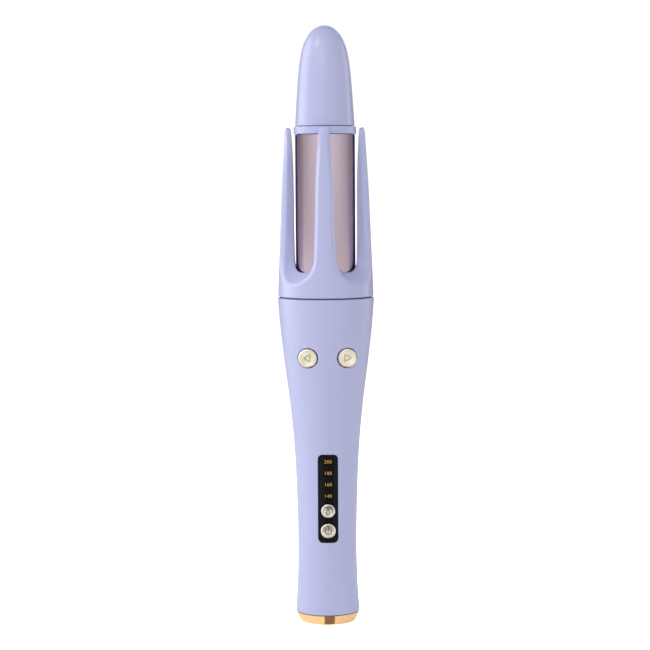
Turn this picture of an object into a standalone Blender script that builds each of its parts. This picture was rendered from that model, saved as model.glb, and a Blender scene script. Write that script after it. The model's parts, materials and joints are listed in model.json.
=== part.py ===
"""Cordless automatic hair curler, upright on its base, metres, +Z up, buttons facing -Y.

The handle is two moulded shells around two battery cells, the control boards and a gear-motor.
A four-pronged crown turns around the fixed heated barrel and winds the hair on to it.
"""
import math

import bmesh
import bpy
from mathutils import Matrix, Vector

# ---------------------------------------------------------------- driving dimensions, metres
GAP = 0.0003                    # clearance between pieces that touch
WALL = 0.0020                   # moulded wall of the handle
RUNNING = 0.0002                # radial clearance of turning pieces

RING_TOP = 0.0052               # metal ring around the foot
RING_RADIUS = 0.0172
FOOT_RADIUS = 0.0148            # outer edge of the flat that the curler stands on
FOOT_BORE = 0.0140
SEAM = 0.1759                   # top of the handle, where the crown starts
HANDLE_OUTLINE = ((0.0055, 0.01735), (0.020, 0.01640), (0.042, 0.01585), (0.075, 0.01655),
                  (0.097, 0.01765), (0.118, 0.01960), (0.140, 0.02240), (0.158, 0.02450),
                  (SEAM, 0.02600))

BARREL_RADIUS = 0.0160
BARREL_WALL = 0.0010
BARREL_FOOT = 0.1843
BARREL_TOP = 0.2633
COLLAR_RADIUS = 0.0167
COLLAR_TOP = 0.2671
TIP_FOOT = 0.2678
TIP_TOP = 0.3214
TIP_RADIUS = 0.0159
TIP_TAPER = 0.0026              # how much the tip narrows before its dome
TIP_POWER = 5.5                 # squareness of the dome

CROWN_FOOT = SEAM + 0.0007
CROWN_OUTLINE = ((CROWN_FOOT, 0.0257), (0.200, 0.02475), (0.238, 0.0231), (0.2650, 0.0214))
CROWN_TIP = 0.2670
CROWN_BORE = 0.0173             # inner face of the prongs
CROWN_FLOOR = 0.1770
CROWN_FLOOR_TOP = 0.1796
SLOT_ARC = 0.1975               # height where each slot's round bottom begins
SLOT_BOTTOM_IN = 0.1900         # lowest point of the slot at the prongs' inner face
SLOT_BOTTOM_OUT = 0.1845        # and at the outer face, so the bottom slopes outwards
# prong half-width against height, at the outer face
PRONG_WIDTH = ((SLOT_ARC, 0.0059), (0.215, 0.0052), (0.239, 0.0046), (0.255, 0.0036),
               (0.2600, 0.0031), (0.2640, 0.0023), (0.2665, 0.0013))
CROWN_REST = math.radians(-3.0)  # the crown stops this far short of square with the handle

HUB_BORE = 0.0063               # what is fixed on the centre tube
TUBE_RADIUS = 0.0060
TUBE_BORE = 0.0050
BUSH_RADIUS = 0.0076
FRAME_LOW = 0.1653
FRAME_TOP = 0.1683
GEAR_LOW = 0.1710

GEAR_MODULE = 0.0005
CROWN_TEETH = 45
PINION_TEETH = 12
BACKLASH = 0.0001
GEAR_CENTRE = GEAR_MODULE * (CROWN_TEETH + PINION_TEETH) / 2 + 0.0001

CELL_RADIUS = 0.0092
CELL_LENGTH = 0.0650
CELL_Y = -0.0003
CELL_FOOT = 0.0110
CELL_PITCH = CELL_LENGTH + 0.0013

WINDOW_LOW = 0.0448
WINDOW_HIGH = 0.0927
WINDOW_WIDTH = 0.0108
LIGHT_HEIGHTS = (0.0888, 0.0826, 0.0764, 0.0702)
TEMP_HEIGHT = 0.0621
TEMP_RADIUS = 0.00375
POWER_HEIGHT = 0.0513
POWER_RADIUS = 0.0040
SMALL_FACE = 0.0163             # distance of the small buttons' faces in front of the axis
ARROW_HEIGHT = 0.1448
ARROW_X = 0.0104
ARROW_RADIUS = 0.0050
ARROW_HOLE = 0.0055
ARROW_FACE = 0.0203
SMALL_BOARD = 0.0108            # distance of the boards' front faces in front of the axis
ARROW_BOARD = 0.0094
BOARD = 0.0010

FRAME_SCREW_RING = 0.0206       # the four screws that hold the frame to the shells
FRAME_SCREW_ANGLES = (45, 135, 225, 315)
BASE_SCREW_RING = 0.0119
BASE_SCREW_ANGLES = (45, 135)
CROWN_SCREW_RING = 0.0092
CROWN_SCREW_ANGLES = (30, 150, 270)

FINE = 48                       # sides of large round pieces
MEDIUM = 24
COARSE = 12

# ---------------------------------------------------------------- scene
for old in list(bpy.data.objects):
    bpy.data.objects.remove(old, do_unlink=True)

PARTS = bpy.data.collections.new("automatic_hair_curler")
CUTTERS = bpy.data.collections.new("cutters")
for collection in (PARTS, CUTTERS):
    bpy.context.scene.collection.children.link(collection)


def make_material(name, colour, roughness, metallic=0.0):
    material = bpy.data.materials.new(name)
    material.use_nodes = True
    shader = material.node_tree.nodes["Principled BSDF"]
    shader.inputs["Base Color"].default_value = (*colour, 1.0)
    shader.inputs["Roughness"].default_value = roughness
    shader.inputs["Metallic"].default_value = metallic
    return material


LAVENDER = make_material("lavender_plastic", (0.50, 0.51, 0.75), 0.42)
ROSE_METAL = make_material("rose_anodised", (0.46, 0.32, 0.40), 0.35, 1.0)
GOLD = make_material("polished_gold", (0.94, 0.70, 0.36), 0.12, 1.0)
CHAMPAGNE = make_material("champagne_metal", (0.84, 0.74, 0.52), 0.30, 1.0)
BLACK_GLOSS = make_material("black_gloss", (0.012, 0.013, 0.018), 0.10)
DARK_PLASTIC = make_material("dark_plastic", (0.06, 0.06, 0.07), 0.55)
NYLON = make_material("nylon", (0.80, 0.79, 0.74), 0.45)
STEEL = make_material("steel", (0.60, 0.60, 0.62), 0.30, 1.0)
ALUMINIUM = make_material("aluminium", (0.78, 0.78, 0.80), 0.35, 1.0)
BOARD_GREEN = make_material("board_green", (0.03, 0.20, 0.08), 0.45)
CELL_WRAP = make_material("cell_wrap", (0.10, 0.32, 0.48), 0.35)
CERAMIC = make_material("ceramic", (0.78, 0.75, 0.70), 0.50)
AMBER = make_material("amber_light", (0.85, 0.52, 0.10), 0.30)
LEAD_RED = make_material("lead_red", (0.60, 0.04, 0.03), 0.50)
LEAD_BLACK = make_material("lead_black", (0.02, 0.02, 0.02), 0.50)


# ---------------------------------------------------------------- shape helpers
def radius_at(outline, z, offset=0.0):
    """Radius of a smooth outline (z, radius) at height z, plus an offset."""
    last = len(outline) - 1
    span = 0
    while span < last - 1 and z > outline[span + 1][0]:
        span += 1

    def slope(i):
        low, high = max(i - 1, 0), min(i + 1, last)
        return (outline[high][1] - outline[low][1]) / (outline[high][0] - outline[low][0])

    (z0, r0), (z1, r1) = outline[span], outline[span + 1]
    height = z1 - z0
    t = (z - z0) / height
    radius = (r0 * (2 * t ** 3 - 3 * t ** 2 + 1) + slope(span) * height * (t ** 3 - 2 * t ** 2 + t)
              + r1 * (3 * t ** 2 - 2 * t ** 3) + slope(span + 1) * height * (t ** 3 - t ** 2))
    return radius + offset


def levels(low, high, count):
    return [low + (high - low) * i / (count - 1) for i in range(count)]


def arc(centre, radii, start, stop, count):
    """Points (radius, z) of an elliptical arc, angles in degrees from the +radius direction."""
    angles = [math.radians(a) for a in levels(start, stop, count)]
    return [(centre[0] + radii[0] * math.cos(a), centre[1] + radii[1] * math.sin(a)) for a in angles]


def add_object(name, mesh, material, collection=PARTS):
    obj = bpy.data.objects.new(name, mesh)
    if material:
        mesh.materials.append(material)
    collection.objects.link(obj)
    if collection is CUTTERS:
        obj.hide_render = True
        obj.display_type = "WIRE"
    return obj


def turned(name, outline, material, sides=MEDIUM, collection=PARTS, place=(0, 0, 0), front=False):
    """Turn an outline of (radius, z) points, which runs down the outer side, top to bottom.

    An outline that starts or ends off the axis is closed by its bore. With front set, the piece's
    own +Z faces -Y, for buttons and other pieces that look forwards.
    """
    closed = outline[0][0] > 1e-6
    mesh = bpy.data.meshes.new(name)
    count = len(outline)
    edges = [(i, i + 1) for i in range(count - 1)]
    if closed:
        edges.append((count - 1, 0))
    mesh.from_pydata([(r, 0, z) for r, z in outline], edges, [])
    obj = add_object(name, mesh, material, collection)
    screw = obj.modifiers.new("Turn", "SCREW")
    screw.steps = sides
    screw.render_steps = sides
    screw.use_merge_vertices = True
    screw.merge_threshold = 0.000001
    obj.location = place
    if front:
        obj.rotation_euler = (math.pi / 2, 0, 0)
    return obj


def disc(radius, low, high):
    """Outline of a plain cylinder."""
    return [(0, high), (radius, high), (radius, low), (0, low)]


def sleeve(radius, bore, low, high):
    """Outline of a plain tube."""
    return [(radius, high), (radius, low), (bore, low), (bore, high)]


def block(name, size, centre, material, collection=PARTS, corner=0.0, along="Y", segments=4):
    """A box; corner rounds the four edges that run along one axis."""
    bm = bmesh.new()
    bmesh.ops.create_cube(bm, size=1.0)
    bmesh.ops.scale(bm, vec=size, verts=bm.verts)
    if corner:
        axis = "XYZ".index(along)
        edges = [e for e in bm.edges
                 if abs((e.verts[0].co - e.verts[1].co)[axis]) > size[axis] * 0.9]
        bmesh.ops.bevel(bm, geom=edges, offset=corner, segments=segments, profile=0.5,
                        affect="EDGES")
    mesh = bpy.data.meshes.new(name)
    bm.to_mesh(mesh)
    bm.free()
    obj = add_object(name, mesh, material, collection)
    obj.location = centre
    return obj


def combine(target, operand, operation="DIFFERENCE"):
    boolean = target.modifiers.new(operand.name, "BOOLEAN")
    boolean.operation = operation
    boolean.solver = "EXACT"
    boolean.object = operand


def drill(target, name, radius, low, high, place=(0, 0, 0), front=False, sides=COARSE):
    """Cut a round hole along Z, or along Y towards the front, between two distances."""
    cutter = turned(name, disc(radius, low, high), None, sides, CUTTERS, place, front)
    combine(target, cutter)


def on_ring(radius, angle):
    return radius * math.cos(math.radians(angle)), radius * math.sin(math.radians(angle))


# ---------------------------------------------------------------- handle shells
def shell_outline(low, high, outer_offset, inner_offset, outer_count, inner_count):
    outside = [(radius_at(HANDLE_OUTLINE, z, outer_offset), z)
               for z in reversed(levels(low, high, outer_count))]
    inside = [(radius_at(HANDLE_OUTLINE, z, inner_offset), z)
              for z in levels(low, high, inner_count)]
    return outside + inside


def make_housing(name, side):
    """One half of the handle; side is -1 for the front and +1 for the rear."""
    low = RING_TOP + GAP
    housing = turned(name, shell_outline(low, SEAM, 0.0, -WALL, 15, 9), LAVENDER, FINE)
    depth = 0.04
    half = block(name + "_side", (0.08, depth, 0.2), (0, side * (depth + GAP) / 2, 0.09), None,
                 CUTTERS)
    combine(housing, half, "INTERSECT")
    for angle in FRAME_SCREW_ANGLES:
        x, y = on_ring(FRAME_SCREW_RING, angle)
        if y * side > 0:
            boss_name = f"{name}_boss_{angle}"
            boss = turned(boss_name, disc(0.0030, 0.1555, FRAME_LOW - GAP), None, COARSE, CUTTERS,
                          (x, y, 0))
            combine(housing, boss, "UNION")
            drill(housing, boss_name + "_hole", 0.0012, 0.1585, FRAME_LOW + 0.001, (x, y, 0))
    return housing


def make_front_housing():
    housing = make_housing("front_housing", -1)
    height = WINDOW_HIGH - WINDOW_LOW
    middle = (WINDOW_HIGH + WINDOW_LOW) / 2
    opening = block("window_opening", (WINDOW_WIDTH, 0.012, height), (0, -0.016, middle), None,
                    CUTTERS, 0.0025)
    combine(housing, opening)
    for side, label in ((-1, "left"), (1, "right")):
        drill(housing, label + "_button_hole", ARROW_HOLE, 0.008, 0.030,
              (side * ARROW_X, 0, ARROW_HEIGHT), True, MEDIUM)


def make_rear_housing():
    housing = make_housing("rear_housing", 1)
    low, high = 0.0084, 0.0139
    for angle in BASE_SCREW_ANGLES:
        # each boss is a rounded bar that grows out of the wall
        x, y = on_ring(0.01255, angle)
        boss = block(f"base_boss_{angle}", (0.0058, 0.0044, high - low), (x, y, (high + low) / 2),
                     None, CUTTERS, 0.0020, "Z")
        boss.rotation_euler = (0, 0, math.radians(angle))
        combine(housing, boss, "UNION")
        drill(housing, f"base_boss_hole_{angle}", 0.0012, low - 0.001, high - 0.0015,
              (*on_ring(BASE_SCREW_RING, angle), 0))


# ---------------------------------------------------------------- foot and charging inlet
def make_foot():
    spigot = 0.0147
    spigot_top = 0.0080
    # the outside narrows towards the floor, and faster near it
    flare = [(FOOT_RADIUS + (RING_RADIUS - FOOT_RADIUS) * share ** 0.85, RING_TOP * share)
             for share in (1.0, 0.75, 0.5, 0.25, 0.08, 0.0)]
    ring = [(spigot, spigot_top), (spigot, RING_TOP)] + flare + [(FOOT_BORE, 0.0), (FOOT_BORE, spigot_top)]
    turned("base_ring", ring, GOLD, FINE)

    cap = turned("base_cap", disc(FOOT_BORE - GAP, 0.0018, 0.0044), LAVENDER, FINE)
    slot = block("port_opening", (0.0096, 0.0039, 0.008), (0, 0, 0.003), None, CUTTERS, 0.0019, "Z")
    combine(cap, slot)
    for index, angle in enumerate(BASE_SCREW_ANGLES):
        x, y = on_ring(BASE_SCREW_RING, angle)
        drill(cap, f"base_screw_hole_{angle}", 0.0012, 0.0, 0.006, (x, y, 0))
        screw = [(0, 0.0112), (0.0009, 0.0112), (0.0009, 0.0015), (0.0017, 0.0015),
                 (0.0017, 0.0005), (0, 0.0005)]
        turned(f"base_screw_{index + 1}", screw, STEEL, COARSE, place=(x, y, 0))

    port = block("charge_port", (0.0089, 0.0032, 0.0061), (0, 0, 0.00515), STEEL, PARTS, 0.0015, "Z")
    mouth = block("port_cavity", (0.0083, 0.0026, 0.0070), (0, 0, 0.0040), None, CUTTERS, 0.0012, "Z")
    tongue = block("port_tongue", (0.0064, 0.0007, 0.0050), (0, 0, 0.0055), None, CUTTERS)
    combine(port, mouth)
    combine(port, tongue, "UNION")
    turned("charge_board", disc(0.0093, 0.0085, 0.0097), BOARD_GREEN, MEDIUM)


# ---------------------------------------------------------------- battery
def make_battery():
    for index, label in enumerate(("lower", "upper")):
        low = CELL_FOOT + index * CELL_PITCH
        high = low + CELL_LENGTH
        cell = [(0, high), (0.0035, high), (0.0035, high - 0.0008), (0.0084, high - 0.0008),
                (CELL_RADIUS, high - 0.0016), (CELL_RADIUS, low + 0.0006),
                (0.0086, low), (0, low)]
        turned("battery_cell_" + label, cell, CELL_WRAP, MEDIUM, place=(0, CELL_Y, 0))
    low = CELL_FOOT + CELL_LENGTH + GAP
    turned("cell_spacer", disc(0.0086, low, low + 0.0007), DARK_PLASTIC, MEDIUM,
           place=(0, CELL_Y, 0))


# ---------------------------------------------------------------- display panel and its buttons
def make_display():
    middle = (WINDOW_HIGH + WINDOW_LOW) / 2
    height = WINDOW_HIGH - WINDOW_LOW - GAP
    span = (WINDOW_LOW - 0.003, WINDOW_HIGH + 0.003)
    window = turned("display_window", shell_outline(*span, -0.0001, -0.0029, 6, 4), BLACK_GLOSS,
                    FINE)
    face = block("window_face", (WINDOW_WIDTH - GAP, 0.012, height), (0, -0.016, middle), None,
                 CUTTERS, 0.0024)
    combine(window, face, "INTERSECT")
    flange = turned("window_flange", shell_outline(*span, -WALL - GAP, -0.0033, 4, 4), None, FINE,
                    CUTTERS)
    ledge = 0.0006                   # how far the flange reaches behind the shell, all round
    flange_size = (WINDOW_WIDTH + 2 * ledge, 0.012, height + 4 * ledge)
    flange_face = block("window_flange_face", flange_size, (0, -0.016, middle), None, CUTTERS, 0.0030)
    combine(flange, flange_face, "INTERSECT")
    combine(window, flange, "UNION")

    for label, z, radius in (("temp", TEMP_HEIGHT, TEMP_RADIUS), ("power", POWER_HEIGHT, POWER_RADIUS)):
        drill(window, label + "_button_hole", radius + GAP, 0.010, 0.020, (0, 0, z), True, MEDIUM)
        back = 0.0131
        bevel = 0.0004
        dish = SMALL_FACE - 0.0001
        cap = [(0, dish), (radius * 0.75, dish), (radius - bevel, SMALL_FACE),
               (radius, SMALL_FACE - bevel), (radius, back), (0, back)]
        turned(label + "_button", cap, CHAMPAGNE, MEDIUM, place=(0, 0, z), front=True)
        width, depth = 0.0052, 0.0012
        block(label + "_switch", (width, depth, width), (0, -SMALL_BOARD - GAP - depth / 2, z),
              DARK_PLASTIC)
    for index, z in enumerate(LIGHT_HEIGHTS):
        block(f"indicator_light_{index + 1}", (0.0042, 0.0014, 0.0026),
              (0, -SMALL_BOARD - GAP - 0.0007, z), AMBER)
    block("display_board", (0.0160, BOARD, 0.060), (0, -SMALL_BOARD + BOARD / 2, 0.070), BOARD_GREEN)


# ---------------------------------------------------------------- direction buttons
def make_arrow_buttons():
    back = 0.0121
    flange = 0.0129
    face = ARROW_FACE
    cap = [(0, face - 0.0002), (ARROW_RADIUS * 0.8, face - 0.0002), (ARROW_RADIUS - 0.0005, face),
           (ARROW_RADIUS, face - 0.0005), (ARROW_RADIUS, flange), (0.0059, flange),
           (0.0059, back), (0, back)]
    board_front = -ARROW_BOARD
    for side, label in ((-1, "left"), (1, "right")):
        x = side * ARROW_X
        turned(label + "_button", cap, CHAMPAGNE, MEDIUM, place=(x, 0, ARROW_HEIGHT), front=True)
        block(label + "_switch", (0.0060, 0.0012, 0.0060), (x, board_front - GAP / 2 - 0.0007,
                                                          ARROW_HEIGHT), DARK_PLASTIC)
    board = block("button_board", (0.0340, BOARD, 0.0220), (0, board_front + BOARD / 2, 0.1480),
                  BOARD_GREEN)
    # the board straddles the top of the upper cell
    notch = block("board_notch", (0.0120, 0.004, 0.0140), (0, board_front, 0.1370), None, CUTTERS)
    combine(board, notch)


# ---------------------------------------------------------------- frame and gear-motor
def make_drive():
    frame = turned("drive_frame", sleeve(0.0226, HUB_BORE, FRAME_LOW, FRAME_TOP), NYLON, FINE)
    drill(frame, "shaft_hole", 0.0024, 0.160, 0.172, (0, GEAR_CENTRE, 0))
    for index, angle in enumerate(FRAME_SCREW_ANGLES):
        x, y = on_ring(FRAME_SCREW_RING, angle)
        drill(frame, f"frame_screw_hole_{angle}", 0.0012, 0.160, 0.172, (x, y, 0))
        head = FRAME_TOP + GAP
        screw = [(0, head + 0.0012), (0.0019, head + 0.0012), (0.0019, head), (0.0009, head),
                 (0.0009, 0.1592), (0, 0.1592)]
        turned(f"frame_screw_{index + 1}", screw, STEEL, COARSE, place=(x, y, 0))

    top = FRAME_LOW - GAP
    gearbox = block("gearbox_case", (0.0120, 0.0100, 0.0090), (0, GEAR_CENTRE, top - 0.0045),
                    STEEL, PARTS, 0.0008, "Z", 2)
    nose = turned("gearbox_nose", disc(0.0021, top - 0.001, top + 0.0014), None, MEDIUM, CUTTERS,
                  (0, GEAR_CENTRE, 0))
    combine(gearbox, nose, "UNION")
    drill(gearbox, "gearbox_bore", 0.0012, top - 0.0055, top + 0.003, (0, GEAR_CENTRE, 0))
    motor = turned("motor_can", disc(0.0060, top - 0.0240, top - 0.0093), STEEL, MEDIUM,
                   place=(0, GEAR_CENTRE, 0))
    flats = block("motor_flats", (0.020, 0.0100, 0.030), (0, GEAR_CENTRE, 0.150), None, CUTTERS)
    combine(motor, flats, "INTERSECT")
    turned("motor_shaft", disc(0.0010, top - 0.0050, 0.1757), STEEL, COARSE,
           place=(0, GEAR_CENTRE, 0))


def gear(name, teeth, bore, low, high, first_tooth, centre, material):
    """A spur gear whose flanks bend at the pitch circle; first_tooth is an angle in radians."""
    pitch_radius = GEAR_MODULE * teeth / 2
    half = math.pi * GEAR_MODULE / 4 - BACKLASH / 2
    flank = ((pitch_radius - 1.15 * GEAR_MODULE, 1.42), (pitch_radius, 1.0),
             (pitch_radius + 0.85 * GEAR_MODULE, 0.52))
    bm = bmesh.new()
    rim = []
    for tooth in range(teeth):
        middle = first_tooth + 2 * math.pi * tooth / teeth
        for side, points in ((-1, flank), (1, tuple(reversed(flank)))):
            for radius, width in points:
                angle = middle + side * width * half / radius
                rim.append(bm.verts.new((radius * math.cos(angle), radius * math.sin(angle), low)))
    face = bm.faces.new(rim)
    raised = bmesh.ops.extrude_face_region(bm, geom=[face])
    top = [v for v in raised["geom"] if isinstance(v, bmesh.types.BMVert)]
    bmesh.ops.translate(bm, vec=(0, 0, high - low), verts=top)
    bmesh.ops.recalc_face_normals(bm, faces=bm.faces)
    mesh = bpy.data.meshes.new(name)
    bm.to_mesh(mesh)
    bm.free()
    obj = add_object(name, mesh, material)
    obj.location = centre
    drill(obj, name + "_bore", bore, low - 0.001, high + 0.001, centre, False, MEDIUM)
    return obj


def make_gears():
    # a tooth of the crown gear points at the pinion, and the pinion turns a gap towards it
    crown_gear = gear("crown_gear", CROWN_TEETH, BUSH_RADIUS + RUNNING, GEAR_LOW,
                      CROWN_FLOOR - GAP, math.pi / 2, (0, 0, 0), NYLON)
    gear("pinion", PINION_TEETH, 0.0013, GEAR_LOW, GEAR_LOW + 0.0040,
         -math.pi / 2 + math.pi / PINION_TEETH, (0, GEAR_CENTRE, 0), NYLON)
    for index, angle in enumerate(CROWN_SCREW_ANGLES):
        x, y = on_ring(CROWN_SCREW_RING, angle)
        drill(crown_gear, f"crown_gear_hole_{angle}", 0.0010, 0.1722, 0.178, (x, y, 0))
        head = CROWN_FLOOR_TOP + GAP
        screw = [(0, head + 0.0010), (0.0015, head + 0.0010), (0.0015, head), (0.0007, head),
                 (0.0007, 0.1726), (0, 0.1726)]
        turned(f"crown_screw_{index + 1}", screw, STEEL, COARSE, place=(x, y, 0))


# ---------------------------------------------------------------- centre tube and its bearings
def make_centre():
    top = 0.1880
    tube = [(TUBE_RADIUS, top), (TUBE_RADIUS, FRAME_LOW - GAP), (0.0086, FRAME_LOW - GAP),
            (0.0086, 0.1630), (TUBE_BORE, 0.1630), (TUBE_BORE, top)]
    turned("centre_tube", tube, STEEL, MEDIUM)
    flange = FRAME_TOP + GAP
    bush = [(BUSH_RADIUS, CROWN_FLOOR_TOP), (BUSH_RADIUS, flange + 0.0012), (0.0100, flange + 0.0012),
            (0.0100, flange), (HUB_BORE, flange), (HUB_BORE, CROWN_FLOOR_TOP)]
    turned("crown_bush", bush, NYLON, MEDIUM)
    turned("thrust_washer", sleeve(0.0102, 0.0079, 0.1701, 0.1707), STEEL, MEDIUM)


# ---------------------------------------------------------------- rotating crown
def slot_cutter(name, turn):
    """A wedge that leaves two prongs; its round bottom slopes down towards the outside.

    It joins a U outline near the axis to the same U, lower at the bottom, outside the crown.
    """
    near, far = 0.0120, 0.0300
    slope = (SLOT_BOTTOM_OUT - SLOT_BOTTOM_IN) / (CROWN_OUTLINE[1][1] + 0.0006 - CROWN_BORE)

    def half_angle(z):
        z = min(z, PRONG_WIDTH[-1][0])
        width = radius_at(PRONG_WIDTH, z)
        return math.pi / 4 - math.asin(width / radius_at(CROWN_OUTLINE, z))

    def outline(distance):
        bottom = SLOT_BOTTOM_IN + slope * (distance - CROWN_BORE)
        spread = half_angle(SLOT_ARC)
        points = []
        for step in range(7):
            angle = math.pi / 2 * step / 7
            points.append((spread * math.sin(angle), SLOT_ARC - (SLOT_ARC - bottom) * math.cos(angle)))
        for z in [station[0] for station in PRONG_WIDTH] + [CROWN_TIP + 0.004]:
            points.append((half_angle(z), z))
        mirrored = [(-angle, z) for angle, z in reversed(points[1:])]
        return [(distance, distance * math.tan(angle), z) for angle, z in points + mirrored]

    inner, outer = outline(near), outline(far)
    count = len(inner)
    bm = bmesh.new()
    inner_loop = [bm.verts.new(p) for p in inner]
    outer_loop = [bm.verts.new(p) for p in outer]
    bm.faces.new(inner_loop)
    bm.faces.new(outer_loop)
    for i in range(count):
        j = (i + 1) % count
        bm.faces.new((inner_loop[i], inner_loop[j], outer_loop[j], outer_loop[i]))
    bmesh.ops.recalc_face_normals(bm, faces=bm.faces)
    bmesh.ops.rotate(bm, cent=(0, 0, 0), matrix=Matrix.Rotation(turn, 3, "Z"), verts=bm.verts)
    mesh = bpy.data.meshes.new(name)
    bm.to_mesh(mesh)
    bm.free()
    return add_object(name, mesh, None, CUTTERS)


def make_crown():
    rounding = arc((0.0196, CROWN_OUTLINE[-1][0]), (0.0018, CROWN_TIP - CROWN_OUTLINE[-1][0]), 90, 0, 4)
    outside = [(radius_at(CROWN_OUTLINE, z), z)
               for z in reversed(levels(CROWN_FOOT, CROWN_OUTLINE[-1][0], 9))]
    skirt = 0.0235
    recess_top = 0.1815
    recess_bore = 0.0195
    inside = [(skirt, CROWN_FOOT), (skirt, recess_top), (recess_bore, recess_top),
              (recess_bore, CROWN_FLOOR), (BUSH_RADIUS + RUNNING, CROWN_FLOOR),
              (BUSH_RADIUS + RUNNING, CROWN_FLOOR_TOP), (CROWN_BORE, CROWN_FLOOR_TOP),
              (CROWN_BORE, 0.2655), (0.0182, CROWN_TIP)]
    crown = turned("crown", rounding[:-1] + outside + inside, LAVENDER, FINE)
    for quarter in range(4):
        combine(crown, slot_cutter(f"slot_{quarter}", CROWN_REST + math.pi / 4 + quarter * math.pi / 2))
    for angle in CROWN_SCREW_ANGLES:
        drill(crown, f"crown_floor_hole_{angle}", 0.0010, 0.1760, 0.1806,
              (*on_ring(CROWN_SCREW_RING, angle), 0))


# ---------------------------------------------------------------- heated barrel
def make_barrel():
    plug = BARREL_RADIUS - BARREL_WALL - GAP
    base = [(plug, 0.1900), (plug, BARREL_FOOT - GAP), (0.0169, BARREL_FOOT - GAP),
            (0.0169, 0.1813), (HUB_BORE, 0.1813), (HUB_BORE, 0.1900)]
    turned("barrel_base", base, DARK_PLASTIC, FINE)
    turned("barrel", sleeve(BARREL_RADIUS, BARREL_RADIUS - BARREL_WALL, BARREL_FOOT, BARREL_TOP),
           ROSE_METAL, FINE)
    for side, label in ((-1, "front"), (1, "rear")):
        core = turned("heater_core_" + label, disc(0.0146, 0.1960, 0.2580), ALUMINIUM, MEDIUM)
        depth = 0.020
        half = block(f"core_{label}_side", (0.04, depth, 0.08), (0, side * (0.0019 + depth / 2), 0.228),
                     None, CUTTERS)
        combine(core, half, "INTERSECT")
        y = side * 0.0080
        drill(core, f"core_{label}_hole", 0.0013, 0.2490, 0.2600, (0, y, 0))
        head = COLLAR_TOP + GAP
        screw = [(0, head + 0.0012), (0.0022, head + 0.0012), (0.0022, head), (0.0010, head),
                 (0.0010, 0.2500), (0, 0.2500)]
        turned("collar_screw_" + label, screw, STEEL, COARSE, place=(0, y, 0))
    block("ptc_heater", (0.0240, 0.0030, 0.0520), (0, 0, 0.2270), CERAMIC)
    turned("thermistor", disc(0.0012, 0.1904, 0.1956), CERAMIC, COARSE, place=(0.0085, 0, 0))
    turned("thermal_fuse", disc(0.0016, 0.1904, 0.1956), CERAMIC, COARSE, place=(-0.0085, 0, 0))


# ---------------------------------------------------------------- cool tip
def dome(foot, top, radius, count):
    """Outline of the bullet-shaped tip from its apex down to its open foot."""
    height = top - foot
    points = []
    for step in range(count + 1):
        s = math.cos(math.pi / 2 * step / count) ** 0.7
        swell = math.sqrt(max(0.0, 1 - s ** TIP_POWER))
        points.append(((radius - TIP_TAPER * s) * swell, foot + height * s))
    return points


def make_tip():
    plug = BARREL_RADIUS - BARREL_WALL - GAP
    low = BARREL_TOP + GAP
    collar = [(0, COLLAR_TOP), (0.0120, COLLAR_TOP), (0.0120, 0.2720), (0.0134, 0.2720),
              (0.0134, COLLAR_TOP), (COLLAR_RADIUS - 0.0003, COLLAR_TOP),
              (COLLAR_RADIUS, COLLAR_TOP - 0.0003), (COLLAR_RADIUS, low), (plug, low),
              (plug, 0.2606), (0, 0.2606)]
    obj = turned("tip_collar", collar, LAVENDER, FINE)
    for y, label in ((-0.0080, "front"), (0.0080, "rear")):
        drill(obj, f"collar_{label}_hole", 0.0013, 0.2590, 0.2700, (0, y, 0))
    outside = dome(TIP_FOOT, TIP_TOP, TIP_RADIUS, 12)
    inside = dome(TIP_FOOT, TIP_TOP - 0.0024, TIP_RADIUS - 0.0022, 6)
    turned("tip_cap", outside + list(reversed(inside)), LAVENDER, FINE)


# ---------------------------------------------------------------- internal leads
def lead(name, points, radius, material):
    curve = bpy.data.curves.new(name, "CURVE")
    curve.dimensions = "3D"
    curve.bevel_depth = radius
    curve.bevel_resolution = 1
    curve.use_fill_caps = True
    spline = curve.splines.new("POLY")
    spline.points.add(len(points) - 1)
    for point, place in zip(spline.points, points):
        point.co = (*place, 1.0)
    obj = bpy.data.objects.new(name, curve)
    curve.materials.append(material)
    PARTS.objects.link(obj)


def smooth_route(points, steps):
    """A Catmull-Rom curve through a few chosen points."""
    places = [Vector(p) for p in points]
    places = [places[0] * 2 - places[1]] + places + [places[-1] * 2 - places[-2]]
    route = []
    for i in range(1, len(places) - 2):
        a, b, c, d = places[i - 1:i + 3]
        for step in range(steps):
            t = step / steps
            route.append(0.5 * (2 * b + (c - a) * t + (2 * a - 5 * b + 4 * c - d) * t ** 2
                                + (3 * b - a - 3 * c + d) * t ** 3))
    return route + [places[-2]]


def make_leads():
    for side, label, material in ((-1, "left", LEAD_BLACK), (1, "right", LEAD_RED)):
        heater = ((0.0030, -0.0075, 0.1500), (0.0030, -0.0060, 0.1570), (0.0020, -0.0015, 0.1640),
                  (0.0020, 0.0, 0.1760), (0.0020, 0.0, 0.1900), (0.0040, 0.0, 0.2004))
        route = [(side * x, y, z) for x, y, z in smooth_route(heater, 3)]
        lead("heater_lead_" + label, route, 0.0007, material)
        supply = ((0.0105, 0.0030, 0.0088), (0.0113, 0.0028, 0.0160), (0.0114, 0.0025, 0.0700),
                  (0.0114, 0.0000, 0.1250), (0.0114, -0.0075, 0.1480))
        route = [(side * x, y, z) for x, y, z in smooth_route(supply, 3)]
        lead("supply_lead_" + label, route, 0.0006, material)


make_front_housing()
make_rear_housing()
make_foot()
make_battery()
make_display()
make_arrow_buttons()
make_drive()
make_gears()
make_centre()
make_crown()
make_barrel()
make_tip()
make_leads()
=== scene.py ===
"""Automatic hair curler, upright on a pale floor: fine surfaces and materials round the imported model.

Lengths are metres. The curler stands at the origin, +Z up, with its buttons facing -Y.
"""
import json
import math

import bmesh
import bpy
import numpy as np
from mathutils import Matrix, Vector


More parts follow.
